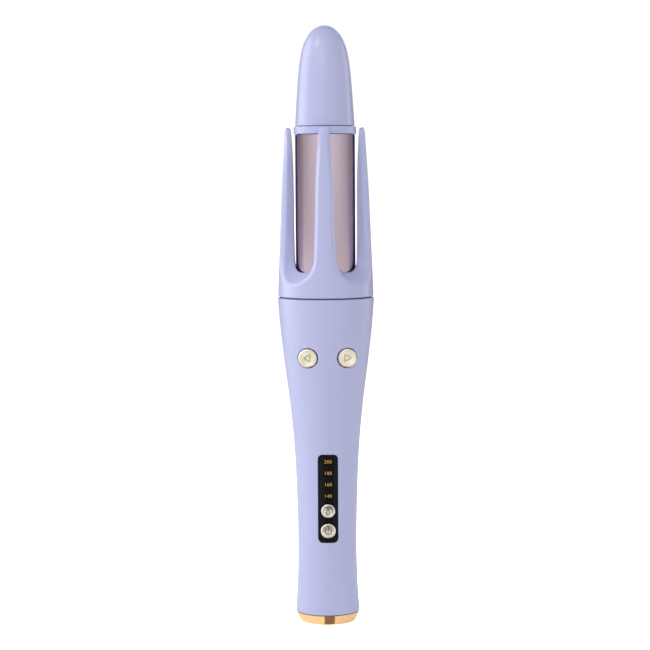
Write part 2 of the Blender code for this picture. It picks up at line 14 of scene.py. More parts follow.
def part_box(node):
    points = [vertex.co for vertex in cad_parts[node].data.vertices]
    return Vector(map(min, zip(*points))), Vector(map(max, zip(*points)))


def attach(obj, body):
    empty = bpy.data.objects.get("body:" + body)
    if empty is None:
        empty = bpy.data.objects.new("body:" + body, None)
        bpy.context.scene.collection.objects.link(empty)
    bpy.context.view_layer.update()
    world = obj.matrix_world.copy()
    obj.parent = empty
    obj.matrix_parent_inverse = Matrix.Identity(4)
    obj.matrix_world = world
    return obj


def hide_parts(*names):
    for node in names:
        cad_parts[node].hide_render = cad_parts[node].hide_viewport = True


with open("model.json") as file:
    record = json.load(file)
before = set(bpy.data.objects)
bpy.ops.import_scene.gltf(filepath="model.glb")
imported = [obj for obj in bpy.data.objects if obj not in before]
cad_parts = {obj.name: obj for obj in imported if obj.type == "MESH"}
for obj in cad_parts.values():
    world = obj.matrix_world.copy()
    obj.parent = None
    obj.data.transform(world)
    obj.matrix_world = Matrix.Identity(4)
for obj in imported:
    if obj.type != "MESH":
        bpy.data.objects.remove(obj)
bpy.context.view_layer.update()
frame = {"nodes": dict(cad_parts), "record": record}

MM = 0.001
PI = math.pi
CREASE = 38                     # degrees: edges sharper than this aren't shaded smooth

# ---------------------------------------------------------------- driving sizes, from the frame
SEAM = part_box("rear_housing")[1].z
HANDLE_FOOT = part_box("rear_housing")[0].z
CROWN_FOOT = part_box("crown")[0].z
CROWN_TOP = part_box("crown")[1].z
BARREL_LOW, BARREL_HIGH = (corner.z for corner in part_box("barrel"))
BARREL_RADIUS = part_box("barrel")[1].x
TIP_LOW, TIP_HIGH = (corner.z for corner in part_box("tip_cap"))
TIP_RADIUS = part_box("tip_cap")[1].x
RING_TOP = HANDLE_FOOT - 0.3 * MM
RING_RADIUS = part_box("base_ring")[1].x
COLLAR_TOP = TIP_LOW - 0.3 * MM

# outlines (height, radius) of the two waisted shells, the same curves as the solids
HANDLE_OUTLINE = ((0.0055, 0.01735), (0.020, 0.01640), (0.042, 0.01585), (0.075, 0.01655),
                  (0.097, 0.01765), (0.118, 0.01960), (0.140, 0.02240), (0.158, 0.02450),
                  (SEAM, 0.02600))
CROWN_OUTLINE = ((CROWN_FOOT, 0.0257), (0.200, 0.02475), (0.238, 0.0231), (0.2650, 0.0214))
WALL = 2.0 * MM
EDGE = 0.25 * MM                # small rounding of moulded edges
BARREL_BORE = BARREL_RADIUS - 1.0 * MM


# ---------------------------------------------------------------- curves and meshes
def curve_at(stations, x):
    """A smooth curve through (x, value) stations."""
    last = len(stations) - 1
    span = 0
    while span < last - 1 and x > stations[span + 1][0]:
        span += 1

    def slope(i):
        low, high = max(i - 1, 0), min(i + 1, last)
        return (stations[high][1] - stations[low][1]) / (stations[high][0] - stations[low][0])

    (x0, y0), (x1, y1) = stations[span], stations[span + 1]
    width = x1 - x0
    t = (x - x0) / width
    return (y0 * (2 * t ** 3 - 3 * t ** 2 + 1) + slope(span) * width * (t ** 3 - 2 * t ** 2 + t)
            + y1 * (3 * t ** 2 - 2 * t ** 3) + slope(span + 1) * width * (t ** 3 - t ** 2))


def handle_radius(z):
    return curve_at(HANDLE_OUTLINE, z)


def handle_surface(x, z, inset, side=-1):
    """The Y of a point on the handle, at an inset from its outline; side is -1 for the front."""
    return side * math.sqrt((handle_radius(z) - inset) ** 2 - x * x)


def crown_radius(z):
    return curve_at(CROWN_OUTLINE, z)


def bezier(start, corner, stop, t):
    """The point at t on the curve from start to stop that bends round corner."""
    return start * (1 - t) ** 2 + corner * 2 * t * (1 - t) + stop * t ** 2


def quarter_turn(steps, first=0):
    """The (sine, cosine) of a quarter turn in equal steps, from step first to the last."""
    angles = [PI / 2 * k / steps for k in range(first, steps + 1)]
    return [(math.sin(a), math.cos(a)) for a in angles]


def nearest(values, target):
    return min(range(len(values)), key=lambda i: abs(values[i] - target))


def bridge(loops, faces):
    """Add the quads between each closed loop of vertices and the next."""
    for first, second in zip(loops, loops[1:]):
        for k in range(len(first)):
            m = (k + 1) % len(first)
            faces.append((first[k], first[m], second[m], second[k]))


def new_object(name, data):
    obj = bpy.data.objects.new(name, data)
    bpy.context.scene.collection.objects.link(obj)
    return obj


def build(name, verts, faces, material, sharp=CREASE):
    """A welded mesh object with outward faces, smooth up to a crease angle in degrees."""
    mesh = bpy.data.meshes.new(name)
    mesh.from_pydata([tuple(v) for v in verts], [], faces)
    bm = bmesh.new()
    bm.from_mesh(mesh)
    bmesh.ops.remove_doubles(bm, verts=bm.verts, dist=2e-7)
    bmesh.ops.dissolve_degenerate(bm, dist=1e-8, edges=bm.edges)
    bmesh.ops.recalc_face_normals(bm, faces=bm.faces)
    if bm.calc_volume(signed=True) < 0:
        bmesh.ops.reverse_faces(bm, faces=bm.faces)
    bm.to_mesh(mesh)
    bm.free()
    mesh.materials.append(material)
    mesh.shade_smooth()
    mesh.set_sharp_from_angle(angle=math.radians(sharp))
    return new_object(name, mesh)


def rounded(points, steps=5):
    """An outline with its corners rounded; each point is (radius, z) or (radius, z, corner)."""
    result = []
    count = len(points)
    for i, point in enumerate(points):
        here = Vector(point[:2])
        corner = point[2] if len(point) > 2 else 0.0
        if corner <= 0.0:
            result.append(tuple(here))
            continue
        before = Vector(points[i - 1][:2]) - here
        after = Vector(points[(i + 1) % count][:2]) - here
        start = here + before.normalized() * corner
        end = here + after.normalized() * corner
        result += [tuple(bezier(start, here, end, step / steps)) for step in range(steps + 1)]
    return result


def lathe(name, outline, material, sides=192, place=(0, 0, 0), front=False):
    """Turn an outline about Z; front lays the axis along Y, so that +Z faces -Y."""
    closed = outline[0][0] > 1e-9           # else it starts and ends on the axis
    verts, faces = [], []
    rows = len(outline)
    for r, z in outline:
        for side in range(sides):
            angle = 2 * PI * side / sides
            verts.append((r * math.cos(angle), r * math.sin(angle), z))
    spans = rows if closed else rows - 1
    for row in range(spans):
        for side in range(sides):
            nxt = (side + 1) % sides
            a, b = row * sides, ((row + 1) % rows) * sides
            faces.append((a + side, b + side, b + nxt, a + nxt))
    obj = build(name, verts, faces, material)
    turn = Matrix.Rotation(PI / 2, 4, "X") if front else Matrix.Identity(4)
    obj.data.transform(Matrix.Translation(place) @ turn)
    return obj


def middle_of(node):
    low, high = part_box(node)
    return (low + high) / 2


def finish_piece(obj, body, slot, *nodes):
    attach(obj, body)
    if nodes:
        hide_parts(*nodes)
    return obj


# ---------------------------------------------------------------- materials
def new_material(name):
    material = bpy.data.materials.new(name)
    material.use_nodes = True
    nodes = material.node_tree.nodes
    shader = nodes["Principled BSDF"]
    return material, material.node_tree, shader


def add_node(tree, kind, **inputs):
    node = tree.nodes.new(kind)
    for key, value in inputs.items():
        node.inputs[key.replace("_", " ")].default_value = value
    return node


def noise(tree, scale, detail=3.0, stretch=(1, 1, 1)):
    """The output of a noise in object space, in cycles per metre, optionally stretched."""
    coordinates = tree.nodes.new("ShaderNodeTexCoord")
    mapping = tree.nodes.new("ShaderNodeMapping")
    mapping.inputs["Scale"].default_value = stretch
    texture = add_node(tree, "ShaderNodeTexNoise", Scale=scale, Detail=detail)
    tree.links.new(coordinates.outputs["Object"], mapping.inputs["Vector"])
    tree.links.new(mapping.outputs["Vector"], texture.inputs["Vector"])
    return texture.outputs["Fac"]


def vary(tree, source, low, high, start=0.3, stop=0.7):
    """The source's start to stop range mapped to low to high; most noise lies from 0.3 to 0.7."""
    span = add_node(tree, "ShaderNodeMapRange", From_Min=start, From_Max=stop, To_Min=low, To_Max=high)
    tree.links.new(source, span.inputs["Value"])
    return span.outputs["Result"]


# sockets of a Mix node by place, because several have the same name
MIX_FACTOR, MIX_NUMBER_A, MIX_NUMBER_B, MIX_COLOUR_A, MIX_COLOUR_B = 0, 2, 3, 6, 7
MIXED_NUMBER, MIXED_COLOUR = 0, 2


def tint(tree, shader, source, first, second, channel="Base Color"):
    """Blend one of the shader's colours from first to second by the source."""
    mix = tree.nodes.new("ShaderNodeMix")
    mix.data_type = "RGBA"
    mix.inputs[MIX_COLOUR_A].default_value = (*first, 1)
    mix.inputs[MIX_COLOUR_B].default_value = (*second, 1)
    tree.links.new(source, mix.inputs[MIX_FACTOR])
    tree.links.new(mix.outputs[MIXED_COLOUR], shader.inputs[channel])


def split_axes(tree, source):
    """The X, Y and Z outputs of a vector output."""
    split = tree.nodes.new("ShaderNodeSeparateXYZ")
    tree.links.new(source, split.inputs["Vector"])
    return split.outputs


def calculate(tree, operation, *values):
    """The output of a Math node; each value is a number or another node's output."""
    node = tree.nodes.new("ShaderNodeMath")
    node.operation = operation
    for socket, value in zip(node.inputs, values):
        if isinstance(value, float):
            socket.default_value = value
        else:
            tree.links.new(value, socket)
    return node.outputs["Value"]


def bump(tree, shader, source, distance):
    node = add_node(tree, "ShaderNodeBump", Distance=distance, Strength=1.0)
    tree.links.new(source, node.inputs["Height"])
    tree.links.new(node.outputs["Normal"], shader.inputs["Normal"])


def roughen(tree, shader, source, roughness, spread):
    rough = vary(tree, source, roughness - spread, roughness + spread)
    tree.links.new(rough, shader.inputs["Roughness"])


def plastic(name, first, second, roughness):
    """Moulded plastic: fine spark-eroded grain, slow colour drift, uneven gloss."""
    material, tree, shader = new_material(name)
    tint(tree, shader, noise(tree, 35, 2), first, second)
    roughen(tree, shader, noise(tree, 60, 1), roughness, 0.015)
    bump(tree, shader, noise(tree, 2600, 2), 0.0008 * MM)
    return material


def metal(name, first, second, roughness, stretch=(1, 1, 1), grain=900, depth=0.004 * MM,
          spread=0.05, painted_edge_shade=(1, 1, 1)):
    """Metal with a brushed or spun grain, which is noise stretched along the lines."""
    material, tree, shader = new_material(name)
    shader.inputs["Metallic"].default_value = 1.0
    # a dark Specular Tint darkens a metal's grazing reflections towards its sides: painted shade
    shader.inputs["Specular Tint"].default_value = (*painted_edge_shade, 1)
    lines = noise(tree, grain, 3, stretch)
    tint(tree, shader, lines, first, second)
    roughen(tree, shader, lines, roughness, spread)
    bump(tree, shader, lines, depth)
    return material


LAVENDER = plastic("lavender_plastic", (0.435, 0.452, 0.690), (0.447, 0.462, 0.700), 0.30)
# the barrel's near-black edge tint is painted shade: it darkens the barrel towards its sides, next to
# the prongs
ROSE_METAL = metal("rose_anodised", (0.640, 0.510, 0.590), (0.660, 0.527, 0.608), 0.24,
                   (0.3, 0.3, 2.0), depth=0.0003 * MM, spread=0.015, painted_edge_shade=(0.06, 0.03, 0.10))
GOLD = metal("polished_gold", (1.00, 0.69, 0.36), (1.00, 0.72, 0.39), 0.20, (0.3, 0.3, 4.0),
             grain=500, depth=0.001 * MM)
STEEL = metal("steel", (0.52, 0.52, 0.54), (0.60, 0.60, 0.62), 0.32)
ALUMINIUM = metal("aluminium", (0.68, 0.68, 0.70), (0.76, 0.76, 0.78), 0.38)
DARK_PLASTIC = plastic("dark_plastic", (0.020, 0.020, 0.024), (0.028, 0.028, 0.032), 0.55)
# darkened lavender: painted shade in the gap of the seam
SEAM_SHADE_PLASTIC = plastic("seam_painted_shade", (0.095, 0.100, 0.175), (0.105, 0.110, 0.190), 0.55)
NYLON = plastic("nylon", (0.72, 0.71, 0.66), (0.78, 0.77, 0.72), 0.45)
BOARD = plastic("board_mask", (0.010, 0.110, 0.040), (0.014, 0.140, 0.055), 0.35)
CELL_WRAP = plastic("cell_wrap", (0.04, 0.18, 0.30), (0.05, 0.21, 0.34), 0.30)
CERAMIC = plastic("ceramic", (0.70, 0.67, 0.62), (0.76, 0.73, 0.68), 0.55)
AMBER = plastic("amber_light", (0.80, 0.45, 0.06), (0.86, 0.50, 0.08), 0.30)
LEAD_RED = plastic("lead_red", (0.42, 0.02, 0.02), (0.50, 0.03, 0.02), 0.50)
LEAD_BLACK = plastic("lead_black", (0.012, 0.012, 0.012), (0.02, 0.02, 0.02), 0.50)


def spun_metal_painted_sheen(name, light, dark, roughness, centre, phase):
    """Spun metal: fine rings about a button's centre line, and a painted two-lobed sheen: bright and
    dark sectors painted into its colour for the highlight those rings give.
    """
    material, tree, shader = new_material(name)
    shader.inputs["Metallic"].default_value = 1.0
    coordinates = tree.nodes.new("ShaderNodeTexCoord")
    mapping = tree.nodes.new("ShaderNodeMapping")
    mapping.inputs["Location"].default_value = (-centre.x, 0, -centre.z)
    tree.links.new(coordinates.outputs["Object"], mapping.inputs["Vector"])
    axes = split_axes(tree, mapping.outputs["Vector"])
    angle = calculate(tree, "ARCTAN2", axes["Z"], axes["X"])
    painted_sheen_lobes = calculate(tree, "SINE", calculate(tree, "MULTIPLY_ADD", angle, 2.0, phase))
    drift = noise(tree, 500, 3)
    # painted highlight and shade: the sheen's sectors, with a random colour drift, blend the colour from
    # dark to light
    sheen = calculate(tree, "MULTIPLY_ADD", painted_sheen_lobes, 0.16, drift)
    tint(tree, shader, vary(tree, sheen, 0.0, 1.0), dark, light)
    roughen(tree, shader, drift, roughness, 0.05)
    rings = add_node(tree, "ShaderNodeTexWave", Scale=900.0, Distortion=1.0, Detail=1.0)
    rings.wave_type = "RINGS"
    rings.rings_direction = "Y"
    tree.links.new(mapping.outputs["Vector"], rings.inputs["Vector"])
    bump(tree, shader, rings.outputs["Fac"], 0.004 * MM)
    return material


CHAMPAGNE = metal("champagne_metal", (0.80, 0.66, 0.42), (0.92, 0.80, 0.56), 0.30)
ENGRAVING = plastic("engraving_paint", (0.045, 0.035, 0.025), (0.07, 0.055, 0.04), 0.6)
SIGN_PAINT = plastic("sign_paint", (0.30, 0.23, 0.13), (0.36, 0.28, 0.16), 0.5)


def black_gloss():
    material, tree, shader = new_material("black_gloss")
    tint(tree, shader, noise(tree, 60, 2), (0.0035, 0.0035, 0.0055), (0.0055, 0.0055, 0.0075))
    roughen(tree, shader, noise(tree, 180, 4), 0.10, 0.04)
    shader.inputs["Specular IOR Level"].default_value = 0.12
    return material


BLACK_GLOSS = black_gloss()


def lit_numeral():
    material, tree, shader = new_material("lit_numeral")
    shader.inputs["Base Color"].default_value = (0.25, 0.14, 0.02, 1)
    tint(tree, shader, noise(tree, 700, 2), (0.42, 0.22, 0.02), (0.85, 0.58, 0.06), "Emission Color")
    shader.inputs["Emission Strength"].default_value = 0.85
    return material


LIT_NUMERAL = lit_numeral()

CAD_MATERIALS = {
    "lavender_plastic": LAVENDER, "rose_metal": ROSE_METAL, "gold_ring": GOLD,
    "champagne_metal": CHAMPAGNE, "black_window": BLACK_GLOSS, "dark_plastic": DARK_PLASTIC,
    "nylon": NYLON, "steel": STEEL, "aluminium": ALUMINIUM, "board": BOARD, "cell_wrap": CELL_WRAP,
    "ceramic": CERAMIC, "amber_light": AMBER, "lead_red": LEAD_RED, "lead_black": LEAD_BLACK}


def dress_cad_nodes():
    """Every carried-over node takes the procedural material of its slot."""
    for row in frame["record"]["subparts"]:
        node = frame["nodes"][row["node"]]
        material = CAD_MATERIALS[row["material_slot"]]
        if not node.material_slots:
            node.data.materials.append(material)
        for material_slot in node.material_slots:
            material_slot.material = material


# ---------------------------------------------------------------- handle shells
class Opening:
    """A hole along Y with a rounded-rectangle outline: half sizes of its core, and a corner."""

    def __init__(self, x, z, half_width, half_height, corner, block):
        self.centre = np.array((x, z))
        self.corner = corner
        self.core = np.array((half_width - corner, half_height - corner))
        self.block = block      # (lowest angle, highest angle, lowest z, highest z) it replaces

    def direction(self, point):
        local = np.array(point) - self.centre
        held = np.clip(local, -self.core, self.core)
        away = local - held
        return held, away / np.linalg.norm(away)

    def at(self, held, away, extra):
        return self.centre + held + away * (self.corner + extra)


COLUMN = math.radians(1.5)      # spacing of the columns of faces round a shell
HALF_COLUMNS = 58               # on each side of the middle one
SHELL_ROWS = 115
SIDE_GAP = 0.15 * MM            # half of the joint line between the shells
JOINT_RADIUS = 19.0 * MM        # turns lengths at the joint line into angles


def half_shell(name, side, openings, material):
    """One shell of the handle; side is -1 for the front. Angles run from the front or the rear."""
    verts, faces = [], []
    edge = 0.35 * MM
    turn_steps = 3
    end = PI / 2 - SIDE_GAP / JOINT_RADIUS
    fillet = EDGE / JOINT_RADIUS
    ends = [(end - fillet + fillet * sin_a, EDGE * (1 - cos_a))
            for sin_a, cos_a in quarter_turn(turn_steps)]
    columns = [(-a, inset) for a, inset in reversed(ends)]          # (angle, inset at the joint line)
    columns += [(a, 0.0) for a in np.arange(-HALF_COLUMNS, HALF_COLUMNS + 1) * COLUMN]
    columns += ends

    # rows of (z, inset, outer side): up the outside, over the top edge, down the inside
    main = list(np.linspace(HANDLE_FOOT + edge, SEAM - edge, SHELL_ROWS))
    turns = quarter_turn(turn_steps, 1)
    rows = [(z, 0.0, True) for z in main]
    rows += [(SEAM - edge + edge * sin_a, edge * (1 - cos_a), True) for sin_a, cos_a in turns]
    rows.append((SEAM, WALL, False))
    first_inner = len(rows)
    rows += [(z, WALL, False) for z in reversed(main)]
    rows.append((HANDLE_FOOT, WALL, False))
    rows += [(HANDLE_FOOT + edge - edge * sin_a, edge * (1 - cos_a), True)
             for sin_a, cos_a in reversed(turns)]

    count = len(columns)
    for z, offset, outer in rows:
        for angle, inset in columns:
            radius = handle_radius(z) - offset - (inset if outer else 0.0)
            verts.append((radius * math.sin(angle), side * radius * math.cos(angle), z))

    def main_row(i, outer):
        return i if outer else first_inner + len(main) - 1 - i

    blocks = []                 # each opening, with the rows and columns of faces that it replaces
    angles = [angle for angle, _ in columns]
    for opening in openings:
        low_a, high_a, low_z, high_z = opening.block
        blocks.append((opening, nearest(main, low_z), nearest(main, high_z),
                       nearest(angles, low_a), nearest(angles, high_a)))

    def blocked(row, column):
        for _, i0, i1, j0, j1 in blocks:
            if not j0 <= column < j1:
                continue
            if row < len(main) - 1 and i0 <= row < i1:
                return True
            if first_inner <= row < first_inner + len(main) - 1:
                i = first_inner + len(main) - 1 - row
                if i0 < i <= i1:
                    return True
        return False

    total = len(rows)
    for row in range(total):
        nxt = (row + 1) % total
        for column in range(count - 1):
            if not blocked(row, column):
                faces.append((row * count + column, row * count + column + 1,
                              nxt * count + column + 1, nxt * count + column))
    faces.append([row * count for row in range(total)])
    faces.append([row * count + count - 1 for row in reversed(range(total))])

    for opening, i0, i1, j0, j1 in blocks:
        around = ([(i0, j) for j in range(j0, j1)] + [(i, j1) for i in range(i0, i1)]
                  + [(i1, j) for j in range(j1, j0, -1)] + [(i, j0) for i in range(i1, i0, -1)])
        outer = [main_row(i, True) * count + j for i, j in around]
        inner = [main_row(i, False) * count + j for i, j in around]
        grip = [opening.direction((verts[v][0], verts[v][2])) for v in outer]
        loops = [outer]

        def flat(indices):
            return [np.array((verts[v][0], verts[v][2])) for v in indices]

        def rim(extra):
            return [opening.at(held, away, extra) for held, away in grip]

        def add_loop(points, inset, sunk=0.0):
            """A loop of (x, z) points on the shell's surface, inset from it and sunk along Y."""
            loops.append(list(range(len(verts), len(verts) + len(points))))
            verts.extend([(x, handle_surface(x, z, inset, side) - side * sunk, z) for x, z in points])

        approach = 6
        for t in (m / approach for m in range(1, approach + 1)):
            add_loop([(1 - t) * start + t * goal for start, goal in zip(flat(outer), rim(edge))], 0.0)
        for sin_a, cos_a in quarter_turn(4, 1):
            add_loop(rim(edge * (1 - sin_a)), 0.0, edge * (1 - cos_a))
        add_loop(rim(0.0), WALL)
        add_loop([(start + goal) / 2 for start, goal in zip(flat(inner), rim(0.0))], WALL)
        loops.append(inner)
        bridge(loops, faces)
    return build(name, verts, faces, material)


def joint_strip(name, side):
    """The tongue that closes the joint line between the shells, inside the thickness of their wall."""
    half = SIDE_GAP - 0.01 * MM
    deep, shallow = 1.7 * MM, 0.9 * MM
    verts, faces = [], []
    heights = np.linspace(HANDLE_FOOT + 0.5 * MM, SEAM - 0.5 * MM, 60)
    for z in heights:
        for depth, y in ((deep, -half), (deep, half), (shallow, half), (shallow, -half)):
            verts.append((side * (handle_radius(z) - depth), y, z))
    for row in range(len(heights) - 1):
        for corner in range(4):
            a, b = 4 * row + corner, 4 * row + (corner + 1) % 4
            faces.append((a, b, b + 4, a + 4))
    last = 4 * (len(heights) - 1)
    faces += [(0, 1, 2, 3), (last + 3, last + 2, last + 1, last)]
    finish_piece(build(name, verts, faces, LAVENDER), "handle", "lavender_plastic")


def seam_ring():
    """The lip inside the running seam: it keeps light from passing under the turning crown. Its darkened
    lavender is painted shade for the seam's gap.
    """
    inner, lip, sill, ridge = 22.6 * MM, 23.3 * MM, 23.7 * MM, 25.0 * MM       # radii
    foot, seat = SEAM - 2.0 * MM, SEAM + 0.01 * MM
    ridge_top, lip_top = SEAM + 0.5 * MM, SEAM + 0.9 * MM
    outline = [(inner, foot), (sill, foot), (sill, seat), (ridge, seat),
               (ridge, ridge_top, 0.15 * MM), (lip, ridge_top), (lip, lip_top), (inner, lip_top)]
    finish_piece(lathe("seam_ring", rounded(outline), SEAM_SHADE_PLASTIC), "handle", "dark_plastic")


WINDOW_LOW, WINDOW_HIGH = 0.0448, 0.0927
WINDOW_MIDDLE = (WINDOW_LOW + WINDOW_HIGH) / 2
WINDOW_WIDTH = 10.8 * MM
WINDOW_INSET = 0.08 * MM        # the window's face lies this far inside the handle's outline
ARROW_HOLE = 5.45 * MM          # radius of the holes of the arrow buttons


def make_handle():
    spread, margin = math.radians(25.5), 3 * MM
    openings = [Opening(0.0, WINDOW_MIDDLE, WINDOW_WIDTH / 2, (WINDOW_HIGH - WINDOW_LOW) / 2, 2.5 * MM,
                        (-spread, spread, WINDOW_LOW - margin, WINDOW_HIGH + margin))]
    for node in ("left_button", "right_button"):
        centre = middle_of(node)
        near, far, margin = math.radians(9.0), math.radians(48.0), 8 * MM
        angles = (near, far) if centre.x > 0 else (-far, -near)
        openings.append(Opening(centre.x, centre.z, ARROW_HOLE, ARROW_HOLE, ARROW_HOLE,
                                (*angles, centre.z - margin, centre.z + margin)))
    front = half_shell("handle_front", -1, openings, LAVENDER)
    finish_piece(front, "handle", "lavender_plastic", "front_housing")
    rear = half_shell("handle_rear", 1, [], LAVENDER)
    finish_piece(rear, "handle", "lavender_plastic", "rear_housing")
    for index, side in enumerate((-1, 1)):
        joint_strip(f"joint_strip_{index + 1}", side)
    seam_ring()


# ---------------------------------------------------------------- crown
SLOT_ARC = 0.1975               # where a slot's rounded bottom begins
SLOT_IN, SLOT_OUT = 0.1900, 0.1845      # the slot's lowest point on the inner and the outer surface
TIP_ARC = 0.261                 # where the prong's rounded tip begins
# half width of a prong at the slot's rim, against height
PRONG_WIDTH = ((SLOT_ARC, 0.0059), (0.215, 0.0053), (0.239, 0.0047), (0.255, 0.0037), (TIP_ARC, 0.0032))
# radius of the prongs' inner surface, against height
PRONG_INNER = ((0.170, 0.0173), (0.230, 0.0173), (0.250, 0.0176), (0.268, 0.0186))
# how far the rim of a slot lies inside the crown's outer surface, against height
RIM_DROP = ((0.184, 1.0 * MM), (0.200, 2.4 * MM), (0.245, 2.1 * MM), (0.258, 1.4 * MM),
            (0.268, 0.6 * MM))
RIM_REACH = 2.4 * MM            # how far from a rim the outer surface starts to fall towards it
WALL_DRAFT = 0.9 * MM           # how much a prong narrows towards the barrel, each side
FLOOR, FLOOR_TOP = 0.1770, 0.1800       # the cup's floor, from below and from above
CROWN_HUB = 7.8 * MM            # radius of the hole in the floor
CROWN_WALL = 2.2 * MM           # at the foot
CROWN_MEAN = 23.0 * MM          # turns angles on the crown into lengths
CROWN_REST = math.radians(-3.0)         # how far the crown has stopped short of square


def half_sector():
    """Vertices and faces from the centre line of a prong to the middle of the next slot."""
    prong_top = CROWN_TOP + 0.2 * MM
    inner_top = prong_top - 0.6 * MM
    arc_steps, side_steps, tip_steps, ease_steps = 26, 56, 14, 12

    def rim_radius(z):
        return crown_radius(z) - curve_at(RIM_DROP, z)

    def rim_angle(z, width):
        return math.asin(min(1.0, width / rim_radius(z)))

    outer_rim, inner_rim = [], []           # (angle, z)
    spread = PI / 4 - rim_angle(SLOT_ARC, PRONG_WIDTH[0][1])
    for k in range(arc_steps):
        tau = PI / 2 * k / arc_steps
        angle = PI / 4 - spread * math.sin(tau)
        outer_rim.append((angle, SLOT_ARC - (SLOT_ARC - SLOT_OUT) * math.cos(tau)))
        inner_rim.append((angle, SLOT_ARC - (SLOT_ARC - SLOT_IN) * math.cos(tau)))
    for k in range(side_steps):
        z = SLOT_ARC + (TIP_ARC - SLOT_ARC) * k / side_steps
        angle = rim_angle(z, curve_at(PRONG_WIDTH, z))
        ease = min(1.0, k / ease_steps, (side_steps - k) / ease_steps)
        outer_rim.append((angle, z))
        inner_rim.append((angle - WALL_DRAFT * ease / curve_at(PRONG_INNER, z), z))
    for k in range(tip_steps + 1):
        beta = PI / 2 * k / tip_steps
        z = TIP_ARC + (prong_top - TIP_ARC) * math.sin(beta)
        width = PRONG_WIDTH[-1][1] * max(0.0, math.cos(beta)) ** 0.6
        angle = rim_angle(z, width) if k < tip_steps else 0.0
        outer_rim.append((angle, z))
        inner_rim.append((angle, TIP_ARC + (inner_top - TIP_ARC) * math.sin(beta)))
    count = len(outer_rim)
    corner = arc_steps

    flat = np.array([(a * CROWN_MEAN, z) for a, z in outer_rim])

    def rim_distance(angle, z):
        p = np.array((angle * CROWN_MEAN, z))
        a, b = flat[:-1], flat[1:]
        d = b - a
        t = np.clip(((p - a) * d).sum(1) / (d * d).sum(1), 0, 1)
        return float(np.sqrt(((a + d * t[:, None] - p) ** 2).sum(1)).min())

    def outer_point(angle, z, depth=None):
        if depth is None:
            near = max(0.0, 1 - rim_distance(angle, z) / RIM_REACH)
            depth = curve_at(RIM_DROP, max(z, RIM_DROP[0][0])) * near ** 1.25
        radius = crown_radius(z) - depth
        return Vector((radius * math.sin(angle), -radius * math.cos(angle), z))

    def inner_point(angle, z):
        radius = curve_at(PRONG_INNER, z)
        return Vector((radius * math.sin(angle), -radius * math.cos(angle), z))

    def offset_rim(rim, distance):
        """The rim moved towards the prong's centre line or the foot, in the unrolled surface."""
        moved = []
        for k, (angle, z) in enumerate(rim):
            before, after = rim[max(k - 1, 0)], rim[min(k + 1, len(rim) - 1)]
            tangent = np.array(((after[0] - before[0]) * CROWN_MEAN, after[1] - before[1]))
            tangent /= np.linalg.norm(tangent)
            normal = np.array((-tangent[1], tangent[0]))
            moved.append((angle + normal[0] * distance / CROWN_MEAN, z + normal[1] * distance))
        moved[0] = (PI / 4, moved[0][1])
        moved[-1] = (0.0, moved[-1][1])
        return [(max(0.0, a), z) for a, z in moved]

    edge_out, edge_in = 0.3 * MM, 0.4 * MM
    outer_line = offset_rim(outer_rim, edge_out)
    inner_line = offset_rim(inner_rim, edge_in)

    def spine(foot, top):
        points = []
        for k in range(count):
            if k <= corner:
                points.append((PI / 4 * (1 - k / corner), foot))
            else:
                t = (k - corner) / (count - 1 - corner)
                points.append((0.0, foot + (top - foot) * t))
        return points

    foot_edge = 0.7 * MM
    outer_spine = spine(CROWN_FOOT + foot_edge, outer_line[-1][1])
    inner_spine = spine(FLOOR_TOP, inner_line[-1][1])

    across_out, across_in, bend = 14, 8, 5
    lines = []
    for k in range(count):
        line = []
        (sa, sz), (ra, rz) = outer_spine[k], outer_line[k]
        for j in range(across_out + 1):
            t = 1 - (1 - j / across_out) ** 1.6
            line.append(outer_point(sa + (ra - sa) * t, sz + (rz - sz) * t))
        rim = outer_point(*outer_rim[k], depth=curve_at(RIM_DROP, outer_rim[k][1]))
        inside = inner_point(*inner_rim[k])
        wall = (inside - rim).normalized()
        start, stop = line[-1], rim + wall * edge_out
        line += [bezier(start, rim, stop, j / bend) for j in range(1, bend + 1)]
        start, stop = inside - wall * edge_in, inner_point(*inner_line[k])
        line += [line[-1].lerp(start, 1 / 3), line[-1].lerp(start, 2 / 3), start]
        line += [bezier(start, inside, stop, j / bend) for j in range(1, bend + 1)]
        (ra, rz), (sa, sz) = inner_line[k], inner_spine[k]
        for j in range(1, across_in + 1):
            t = j / across_in
            line.append(inner_point(ra + (sa - ra) * t, rz + (sz - rz) * t))
        lines.append(line)

    verts, faces = [], []
    for line in lines:
        verts.extend(line)
    width = len(lines[0])
    for k in range(count - 1):
        for j in range(width - 1):
            faces.append((k * width + j, k * width + j + 1, (k + 1) * width + j + 1,
                          (k + 1) * width + j))
    # the floor and the foot close the cup between the two spines
    foot_radius = crown_radius(CROWN_FOOT)
    skirt = [(curve_at(PRONG_INNER, FLOOR_TOP), FLOOR_TOP), (CROWN_HUB, FLOOR_TOP),
             (CROWN_HUB, FLOOR), (foot_radius - CROWN_WALL, FLOOR),
             (foot_radius - CROWN_WALL, CROWN_FOOT), (foot_radius - foot_edge, CROWN_FOOT)]
    skirt += [(foot_radius - foot_edge * (1 - sin_a), CROWN_FOOT + foot_edge * (1 - cos_a))
              for sin_a, cos_a in quarter_turn(4, 1)[:-1]]
    first = len(verts)
    for k in range(corner + 1):
        angle = PI / 4 * (1 - k / corner)
        for r, z in skirt[1:]:
            verts.append(Vector((r * math.sin(angle), -r * math.cos(angle), z)))
    span = len(skirt) - 1
    for k in range(corner):
        ring, following = first + k * span, first + (k + 1) * span
        here, beyond = k * width, (k + 1) * width
        faces.append((here + width - 1, beyond + width - 1, following, ring))
        for j in range(span - 1):
            faces.append((ring + j, following + j, following + j + 1, ring + j + 1))
        faces.append((ring + span - 1, following + span - 1, beyond, here))
    return verts, faces


